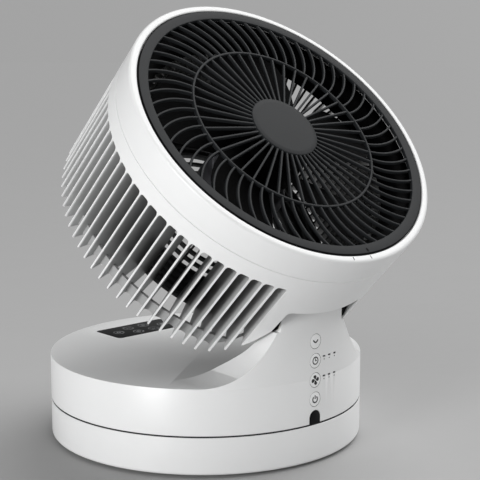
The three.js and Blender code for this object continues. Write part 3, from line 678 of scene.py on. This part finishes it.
bezel = build("bezel_shell", lathe(fillet([
    (144.5, SEAM_H), (DRUM_R, SEAM_H, 0.35), (DRUM_R, 0, 2.6), (140.5, 0, 1.6), (140.5, -3.8, 0.3),
    (133, -3.8, 0.3), (133, -6.2, 0.3), (144.5, -6.2)], 6)), HEAD)
gap = prism(arc(0, 0, 136.5, -3.4, 3.4, 8) + arc(0, 0, 130, 3.4, -3.4, 8), -8, -3)
for i in range(3):
    boolean(bezel, turned(gap, LUG_TURN - LOCK_TURN + 120 * i), "DIFFERENCE", HEAD)
piece(bezel, "drum", WHITE, ["front_bezel"])

ticks = merged(*[turned(box(142, 145.2, -0.45, 0.45, -0.4, 0.05), a) for a in (262.1, 270)])
tick_marks = build("rim_ticks", ticks, HEAD)
piece(tick_marks, "drum", GREY_PRINT)

# ------------------------------------------------------------------ drum: finned housing

def notch_bottom(x):
    """Lowest height left of the drum's skirt at x, on the neck's side."""
    x = abs(x)
    if x <= NOTCH_HALF - NOTCH_LIP:
        return NOTCH_H
    if x < NOTCH_HALF:
        d = x - (NOTCH_HALF - NOTCH_LIP)
        return NOTCH_H - NOTCH_LIP + math.sqrt(max(0, NOTCH_LIP ** 2 - d * d))
    if x >= FLANK[0]:
        return -1000
    s = min(1, (FLANK[0] - x) / NOTCH_CURVE[0])
    z = FLANK[1] - NOTCH_CURVE[1] * math.sqrt(1 - s * s)
    return z - DRUM_TOP if z < 157.6 else NOTCH_H


def skirt_bottom(r, phi):
    """Lower end of the drum's skirt at a radius and an angle in degrees."""
    tail = TAIL_H + TAIL_SLOPE * (DRUM_R - r)
    x, y = r * math.cos(phi * RAD), r * math.sin(phi * RAD)
    return max(tail, notch_bottom(x)) if y < -20 else tail


STEP = 360 / FIN_COUNT
HALF_FIN = FIN_T / 2 / DRUM_R / RAD                # degrees
BAND_R = DRUM_R - WALL
CORNER_STEPS = (0.35, 0.9, 1.7, SLOT_ROUND)


def slot_corner(d):
    """Height of the slot's upper edge at a distance from the fin's flank."""
    return SLOT_H - SLOT_ROUND + math.sqrt(SLOT_ROUND ** 2 - (SLOT_ROUND - d) ** 2)


def fin_angle(k):
    return 270 + FIN_PHASE + k * STEP


def on_drum(r, phi, h):
    return (r * math.cos(phi * RAD), r * math.sin(phi * RAD), h)


# The band above the slots: each column is an angle and the height of the lower edge there.
columns = []
for k in range(FIN_COUNT):
    this, after = fin_angle(k), fin_angle(k) + STEP
    columns += [(this - HALF_FIN, SLOT_H - SLOT_ROUND), (this + HALF_FIN, SLOT_H - SLOT_ROUND)]
    for d in CORNER_STEPS:
        columns.append((this + HALF_FIN + d / DRUM_R / RAD, slot_corner(d)))
    for d in reversed(CORNER_STEPS):
        columns.append((after - HALF_FIN - d / DRUM_R / RAD, slot_corner(d)))

top = SEAM_H - 0.4
verts, faces = [], []
for r, h in ((DRUM_R - 0.4, top), (DRUM_R, top - 0.4), (DRUM_R, None), (BAND_R, None), (BAND_R, top)):
    verts += [on_drum(r, phi, low if h is None else h) for phi, low in columns]
n = len(columns)
for j in range(5):
    for i in range(n):
        k, m = (i + 1) % n, (j + 1) % 5
        faces.append([j * n + i, j * n + k, m * n + k, m * n + i])
band = (verts, faces)
shelf = lathe([(135, SLOT_H), (145.5, SLOT_H), (145.5, SLOT_H + 2.2), (135, SLOT_H + 2.2)])

# The plain saddle over the neck.
half_saddle = SADDLE_FINS * STEP + HALF_FIN
verts = []
for i in range(91):
    phi = fin_angle(0) - half_saddle + 2 * half_saddle * i / 90
    for r, h in ((DRUM_R, SLOT_H + 1), (DRUM_R, None), (BAND_R, None), (BAND_R, SLOT_H + 1)):
        verts.append(on_drum(r, phi, max(skirt_bottom(r, phi), TAIL_H) if h is None else h))
saddle = tube(verts)

radii = [FIN_IN_R, 118, 121, 124, 127, 130, 133, 136, 139, 142, 144.5, 146.5, DRUM_R]
m = len(radii)
fins = []
for k in range(SADDLE_FINS, FIN_COUNT - SADDLE_FINS + 1):
    phi = fin_angle(k)
    verts, faces = [], []
    for flank_side in (-1, 1):
        for r in radii:
            low = skirt_bottom(r, phi)
            half = FIN_T / 2 * flank_side * (0.72 if r == DRUM_R else 1)
            verts.append((r, half, SLOT_H + 1))
            verts.append((r, half, low + (0.3 if r == DRUM_R else 0)))
    for first in (0, 2 * m):
        for i in range(m - 1):
            a = first + 2 * i
            faces.append([a, a + 1, a + 3, a + 2])
    for i in range(m - 1):
        a, b = 2 * i, 2 * m + 2 * i
        faces.append([a, a + 2, b + 2, b])
        faces.append([a + 1, a + 3, b + 3, b + 1])
    faces.append([0, 1, 2 * m + 1, 2 * m])
    faces.append([2 * m - 2, 2 * m - 1, 4 * m - 1, 4 * m - 2])
    fins.append(turned((verts, faces), phi))

# The scalloped web that ties the fins near their lower ends.
web_columns = []
for k in range(SADDLE_FINS, FIN_COUNT - SADDLE_FINS):
    web_columns += [(fin_angle(k) + STEP * i / 8, math.sin(math.pi * i / 8)) for i in range(8)]
web_columns.append((fin_angle(FIN_COUNT - SADDLE_FINS), 0))
verts = []
for phi, bow in web_columns:
    for r, h in ((137.8, -128), (140.3, -128), (140.3, None), (137.8, None)):
        low = -141 + 2.6 * bow if h is None else h
        clear = skirt_bottom(r, phi) + (0 if h is None else 0.2)
        verts.append(on_drum(r, phi, max(low, clear)))
web = tube(verts)

fin_cage = build("fin_cage", merged(band, shelf, saddle, web, *fins), HEAD)
piece(fin_cage, "drum", WHITE_FINS_SHADED, ["rear_housing"])

# ------------------------------------------------------------------ drum: guard, duct, motor

ridges = []
for r in reversed(GUARD_RIDGES):
    ridges += [(r + 2.2, -130, 0.5), (r + 1.2, -127.6, 0.8),
               (r - 1.2, -127.6, 0.8), (r - 2.2, -130, 0.5)]
dish = lathe(fillet([
    (GUARD_DISH_R, -132.6, 0.4), (TIP_R, -132.6, 0.4), (TIP_R, -127.4, 0.4), (112, -127.4, 0.4),
    (111, -130, 0.5), *ridges, (GUARD_DISH_R + 2.4, -130, 0.4), (GUARD_DISH_R + 1.8, -127.4, 0.5),
    (GUARD_DISH_R, -127.4, 0.4)], 3))
plate = lathe(fillet([
    (0, -131), (GUARD_PLATE_R, -131, 0.8), (GUARD_PLATE_R, -128.4, 0.3), (0, -128.4)], 3))
guard_parts = [dish, plate]
for r in GUARD_RINGS:
    guard_parts.append(lathe(fillet([
        (r - 1.4, -131.6, 0.6), (r + 1.4, -131.6, 0.6),
        (r + 1.4, -127.4, 1), (r - 1.4, -127.4, 1)], 3)))
rib_line = [(GUARD_PLATE_R - 2, 0, -132.6), (60, 0, -132.6), (GUARD_DISH_R + 1, 0, -132.6)]
rib = sweep(rib_line, (0, 0, -1), 2, -2, 0.5)
for i in range(GUARD_RIBS):
    guard_parts.append(turned(rib, (i + 0.5) * 360 / GUARD_RIBS))
guard = build("guard_disc", merged(*guard_parts), HEAD)
piece(guard, "drum", DARK, ["rear_guard"])

outer_line = smooth_line([(118, -33), (118, -24), (122, -14), (129, -9.5)])
inner_line = smooth_line([(129.5, -11.7), (120.2, -24), (120.2, -33)])
duct = build("duct_ring", lathe(outer_line + [(143.8, -9.5), (143.8, -11.7)] + inner_line), HEAD)
piece(duct, "drum", BLACK, ["air_duct"])

can = build("motor_can", lathe(fillet([
    (BORE_R, -70), (MOTOR_R - 4, -67, 3), (MOTOR_R, -71, 3), (MOTOR_R, -125), (MOTOR_R - 2, -125),
    (MOTOR_R - 2, -73, 2), (12, -73), (12, -77), (BORE_R, -77)], 4), 96), HEAD)
piece(can, "drum", DARK_STEEL, ["motor_housing"])
lid = build("motor_lid", lathe(fillet([
    (0, -128.1), (MOTOR_R, -128.1, 0.8), (MOTOR_R, -125.3, 0.4), (12, -125.3), (12, -118),
    (BORE_R, -118), (BORE_R, -125.3), (0, -125.3)], 3), 96), HEAD)
piece(lid, "drum", DARK_STEEL, ["motor_cover"])

# ------------------------------------------------------------------ impeller


ALONG, ACROSS_STEPS = 20, 24      # a blade's steps from root to tip, and from edge to edge


def blade():
    """A twisted, cambered blade with a rounded tip."""
    verts, faces = [], []
    row = ACROSS_STEPS + 1
    for face_side in (1, -1):
        for i in range(ALONG + 1):
            u = 1 - (1 - i / ALONG) ** 1.4
            rounding = math.sqrt(1 - (0.9 * max(0, (u - 0.82) / 0.18)) ** 2.5)
            for j in range(row):
                across = 2 * j / ACROSS_STEPS - 1
                v = across * rounding
                r = ROOT_R + (TIP_R - ROOT_R) * u
                sweep_back = (14 * u + v * (35.5 - 18 * u)) * RAD
                rise = 3.4 * u - v * (14 - 7 * u)
                camber = -5 * (1 - v * v) * u
                thick = 1.1 * max(0.3, math.sqrt(max(0, 1 - across ** 6)))
                thick *= max(0.35, math.sqrt(1 - u ** 12))
                verts.append((r * math.cos(sweep_back), r * math.sin(sweep_back),
                              -28 + rise + camber + face_side * thick))
    m = (ALONG + 1) * row
    for first in (0, m):
        for i in range(ALONG):
            for j in range(ACROSS_STEPS):
                a = first + i * row + j
                faces.append([a, a + 1, a + row + 1, a + row])
    for i in range(ALONG):
        for j in (0, ACROSS_STEPS):
            a = i * row + j
            faces.append([a, a + row, m + a + row, m + a])
    for j in range(ACROSS_STEPS):
        for i in (0, ALONG):
            a = i * row + j
            faces.append([a, a + 1, m + a + 1, m + a])
    return verts, faces


hub = lathe(fillet([
    (4.3, -13), (28, -15, 4), (34, -21, 5), (34, -46), (31.5, -46), (31.5, -22, 3), (10, -17.5),
    (10, -34), (4.3, -34)], 5), 96)
wheel_blades = [turned(blade(), BLADE_PHASE + 360 / BLADES * i) for i in range(BLADES)]
impeller = build("blade_wheel", merged(hub, *wheel_blades), HEAD)
piece(impeller, "blades", BLACK, ["impeller"], 50)

nut = build("spinner_nut", lathe(fillet([
    (0, -8), (5, -8.2, 1.5), (8, -12, 0.4), (4.3, -12), (4.3, -10), (0, -10)], 4), 64), HEAD)
piece(nut, "blades", BLACK, ["impeller_nut"])

# ------------------------------------------------------------------ front grille

DEEP = -GRILLE_DEPTH
flange = lathe(fillet([
    (130.2, DEEP, 0.4), (139.9, DEEP, 0.3), (139.9, 0.3, 0.9), (130.2, 0.1, 0.7)], 4))
mid_ring = lathe(fillet([
    (GRILLE_RING[0], DEEP, 0.3), (GRILLE_RING[1], DEEP, 0.3), (GRILLE_RING[1], 0, 0.6),
    (GRILLE_RING[0], 0, 0.6)], 3))
hub_disc = lathe(fillet([
    (0, DEEP), (GRILLE_HUB_R, DEEP, 0.3), (GRILLE_HUB_R, 0, 0.8), (28, 0.5, 6), (0, 0.8)], 4))
inner_line = [(31.5, 0, -0.4), (60, 0, -0.3), (88, 0, -0.4)]
outer_line = []
for i in range(15):
    t = i / 14
    r = 88.6 + (131 - 88.6) * t
    a = 8 * RAD * t ** 1.7
    outer_line.append((r * math.cos(a), r * math.sin(a), -0.4))
bars = []
for line, count, start in ((inner_line, INNER_SPOKES, 0), (outer_line, OUTER_SPOKES, 0.5)):
    spoke = sweep(line, (0, 0, 1), *SPOKE)
    bars += [turned(spoke, start + 360 / count * i) for i in range(count)]
stem = prism(arc(0, 0, 132.6, -3, 3, 8) + arc(0, 0, 130.4, 3, -3, 8), -8.4, -3.3)
hook = prism(arc(0, 0, 135.6, -3, 3, 8) + arc(0, 0, 132.6, 3, -3, 8), -8.4, -6.6)
lugs = [turned(merged(stem, hook), LUG_TURN + 120 * i) for i in range(3)]
grille = build("grille_disc", merged(flange, mid_ring, hub_disc, *bars, *lugs), HEAD)
piece(grille, "grille", GRILLE, ["front_grille"])

# The mark that shows when the grille is locked, a notch drawn as a black shape on the flange, and a
# black ring at the grille's edge: both are painted shade, of the notch and of the gap round the grille.
mark = turned(prism([
    (134.2, 0), (135.1, 0.9), (136.3, 1.1), (137.5, 0.9), (138.4, 0), (137.5, -0.9), (136.3, -1.1),
    (135.1, -0.9)], -0.2, 0.3), 270.4)
edge_shade_ring = lathe([(139.1, -0.5), (139.88, -0.5), (139.88, -0.1), (139.5, 0.27), (139.1, 0.3)])
grille_shade_marks = build("grille_shade_marks", merged(mark, edge_shade_ring), HEAD)
piece(grille_shade_marks, "grille", BLACK)

# ------------------------------------------------------------------ materials on the nodes that stay

for material, names in (
        (BLACK, ["bottom_plate", "swivel_floor", "tilt_bracket"]),
        (STEEL, ["retaining_washer", "post_nut", "swing_motor", "tilt_pin", "motor_shaft",
                 "bearing_front", "bearing_rear", "base_screw_1", "base_screw_2", "base_screw_3",
                 "base_screw_4"]),
        (DARK_STEEL, ["ballast_plate", "motor_rotor"]),
        (COPPER, ["motor_stator"]),
        (NYLON, ["swivel_post", "slip_ring", "fixed_gear", "swing_pinion", "friction_washer_left",
                 "friction_washer_right"]),
        (BOARD, ["control_board"])):
    for name in names:
        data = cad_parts[name].data
        data.materials.clear()
        data.materials.append(material)

# ------------------------------------------------------------------ floor, light and camera

# Flat round the fan, and a little raised far behind it, where the picture ends.
FLOOR_ROWS = ((-9, 0), (9, 0), (30, 1.4), (60, 4))          # metres away from the camera, and up
HALF_WIDTH = 30
VIEW = (0.6713, 0.7412)           # the camera's direction over the floor
AWAY = Vector((*VIEW, 0))
ACROSS = Vector((VIEW[1], -VIEW[0], 0))
floor_mesh = bpy.data.meshes.new("floor")
floor_verts = [tuple(AWAY * far + ACROSS * wide + Vector((0, 0, FLOOR * MM + rise)))
               for far, rise in FLOOR_ROWS for wide in (-HALF_WIDTH, HALF_WIDTH)]
floor_mesh.from_pydata(floor_verts, [], [[2 * k, 2 * k + 1, 2 * k + 3, 2 * k + 2] for k in range(3)])
floor = bpy.data.objects.new("floor", floor_mesh)
bpy.context.scene.collection.objects.link(floor)
floor.data.materials.append(surface("pale_floor", (0.42, 0.42, 0.42), 0.6, 60, 0.0, 0.005))

world = bpy.data.worlds.new("studio")
bpy.context.scene.world = world
world.use_nodes = True
background = world.node_tree.nodes["Background"]
background.inputs["Color"].default_value = (1, 1, 1, 1)
background.inputs["Strength"].default_value = 0.2
bpy.context.scene.view_settings.view_transform = "Standard"


def around(azimuth, height, distance):
    """A place round the fan: azimuth in degrees from +X towards +Y, height in degrees."""
    flat = distance * math.cos(height * RAD)
    up = distance * math.sin(height * RAD)
    return (flat * math.cos(azimuth * RAD), flat * math.sin(azimuth * RAD), up)


def linked(name, data):
    obj = bpy.data.objects.new(name, data)
    bpy.context.scene.collection.objects.link(obj)
    return obj


AIM = Vector((0, 0, 0.16))


def softbox(name, place, size, power):
    data = bpy.data.lights.new(name, "AREA")
    data.shape = "RECTANGLE"
    data.size = data.size_y = size
    data.energy = power
    obj = linked(name, data)
    obj.location = place
    obj.rotation_euler = (AIM - Vector(place)).to_track_quat("-Z", "Y").to_euler()


softbox("key_box", around(194, 12, 2.0), 0.7, 24)
softbox("side_box", around(322, 12, 2.0), 0.8, 6)
sun = bpy.data.lights.new("top_sun", "SUN")
sun.energy = 2.5
sun.angle = 1.0
linked("top_sun", sun).rotation_euler = Vector(around(352, 58, 1)).to_track_quat("Z", "Y").to_euler()

camera = bpy.data.cameras.new("camera")
camera.lens = 100.96
camera.sensor_width = 36
eye = linked("camera", camera)
pitch = 9.73 * RAD
ahead = Vector((VIEW[0] * math.cos(pitch), VIEW[1] * math.cos(pitch), -math.sin(pitch)))
eye.location = (-0.8099, -0.9425, 0.3946 + FLOOR * MM)
eye.rotation_euler = ahead.to_track_quat("-Z", "Y").to_euler()
bpy.context.scene.camera = eye

bpy.context.view_layer.update()
